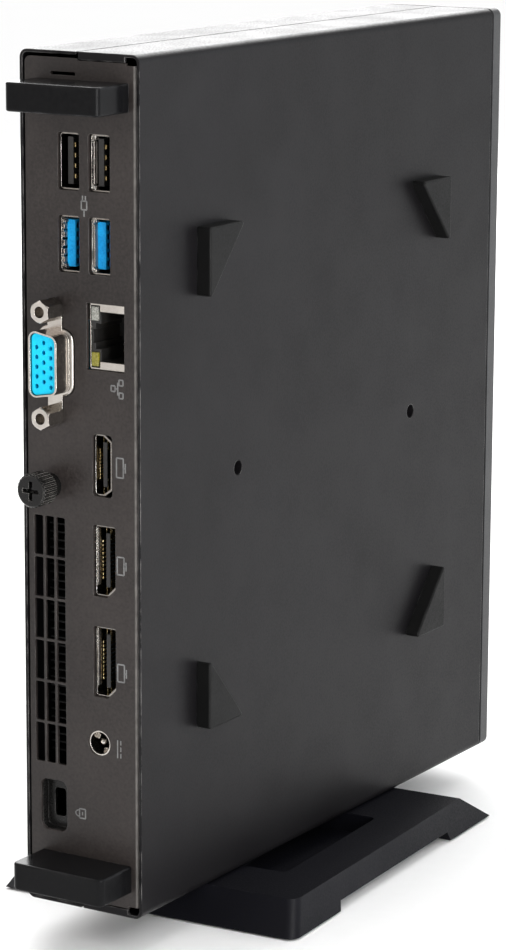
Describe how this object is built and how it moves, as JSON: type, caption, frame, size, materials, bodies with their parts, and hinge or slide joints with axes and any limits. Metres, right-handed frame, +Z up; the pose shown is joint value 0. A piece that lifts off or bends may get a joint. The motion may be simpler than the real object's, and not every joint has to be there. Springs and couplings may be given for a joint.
{
  "type": "mini pc",
  "caption": "Slim upright office mini PC in a dark steel case with a recessed rear port panel, rubber bumpers, sliding side cover and two-part plastic stand.",
  "frame": {"origin": "bottom centre of the whole object's box, on the surface the stand rests on", "axes": "+Z up, +X towards the side of the case with the rubber feet, +Y towards the front bezel, so the rear ports face -Y"},
  "size_m": [0.088, 0.1876, 0.213],
  "materials": {
    "case_paint": "fine textured satin",
    "panel_paint": "fine textured satin",
    "bezel_plastic": "satin moulded",
    "bumper_plastic": "semi-gloss moulded",
    "stand_plastic": "fine moulded grain",
    "foot_rubber": "matte",
    "nickel": "nickel plated",
    "steel": "zinc plated",
    "screw_black": "black zinc",
    "black_plastic": "moulded",
    "blue_plastic": "moulded",
    "port_blue": "moulded",
    "gold": "gold flash",
    "status_window": "translucent",
    "circuit_board": "solder mask",
    "ribbon": "flat cable",
    "aluminium": "mill",
    "copper": "copper"
  },
  "bodies": {
    "stand": {"stand_right": "stand_plastic", "stand_left": "stand_plastic", "stand_pads": "foot_rubber"},
    "case": {"chassis_base": "case_paint", "rear_panel": "panel_paint", "lock_cup": "panel_paint", "power_button_guide": "bezel_plastic", "rear_bumpers": "bumper_plastic", "rubber_feet": "foot_rubber", "usb_shells": "nickel", "lan_jack_shield": "nickel", "video_port_shells": "nickel", "vga_shell": "nickel", "vga_jackscrews": "nickel", "power_inlet_sleeve": "nickel", "power_inlet_pin": "nickel", "board_standoffs": "steel", "board_screws": "steel", "drive_tray": "steel", "drive_screws": "steel", "blower_motor": "steel", "coin_cell": "steel", "thumbscrew_ferrule": "screw_black", "usb2_body": "black_plastic", "lan_jack_insert": "black_plastic", "video_port_tongues": "black_plastic", "power_inlet_body": "black_plastic", "processor_socket": "black_plastic", "blower_housing": "black_plastic", "card_sockets": "black_plastic", "coin_cell_holder": "black_plastic", "speaker": "black_plastic", "power_switch": "black_plastic", "audio_jacks": "black_plastic", "usb3_body": "blue_plastic", "front_usb_bodies": "blue_plastic", "vga_insert": "port_blue", "usb2_contacts": "gold", "lan_jack_contacts": "gold", "lan_leds": "status_window", "power_light_pipe": "status_window", "main_board": "circuit_board", "vga_board": "circuit_board", "front_board": "circuit_board", "memory_modules": "circuit_board", "storage_card": "circuit_board", "wireless_card": "circuit_board", "antennas": "circuit_board", "vga_ribbon": "ribbon", "heatsink_fins": "aluminium", "cold_plate": "aluminium", "processor": "aluminium", "drive": "aluminium", "heat_pipe": "copper"},
    "cover": {"side_cover": "case_paint", "front_bezel": "bezel_plastic"},
    "screw_ring": {"thumbscrew_retainer": "steel"},
    "thumbscrew": {"thumbscrew": "screw_black"},
    "power_button": {"power_button": "bezel_plastic"},
    "fan_rotor": {"blower_impeller": "black_plastic"}
  },
  "joints": [
    {"name": "case_lift", "type": "slide", "parent": "stand", "child": "case", "axis": [0, 0, 1], "range_m": [0, 0.03]},
    {"name": "cover_slide", "type": "slide", "parent": "case", "child": "cover", "axis": [0, 1, 0], "range_m": [0, 0.012]},
    {"name": "screw_travel", "type": "slide", "parent": "case", "child": "screw_ring", "axis": [0, -1, 0], "range_m": [0, 0.0043]},
    {"name": "screw_turn", "type": "hinge", "parent": "screw_ring", "child": "thumbscrew", "pos_m": [-0.007, -0.08625, 0.1114], "axis": [0, -1, 0], "range_deg": [0, 1948]},
    {"name": "button_press", "type": "slide", "parent": "case", "child": "power_button", "axis": [0, -1, 0], "range_m": [0, 0.0008], "stiffness_N_per_m": 500, "springref_m": -0.0008},
    {"name": "fan_spin", "type": "hinge", "parent": "case", "child": "fan_rotor", "pos_m": [-0.0071, -0.03125, 0.074], "axis": [1, 0, 0], "continuous": true}
  ],
  "couplings": [
    {"joint": "screw_turn", "follows": "screw_travel", "rad_per_m": 7913.3}
  ]
}
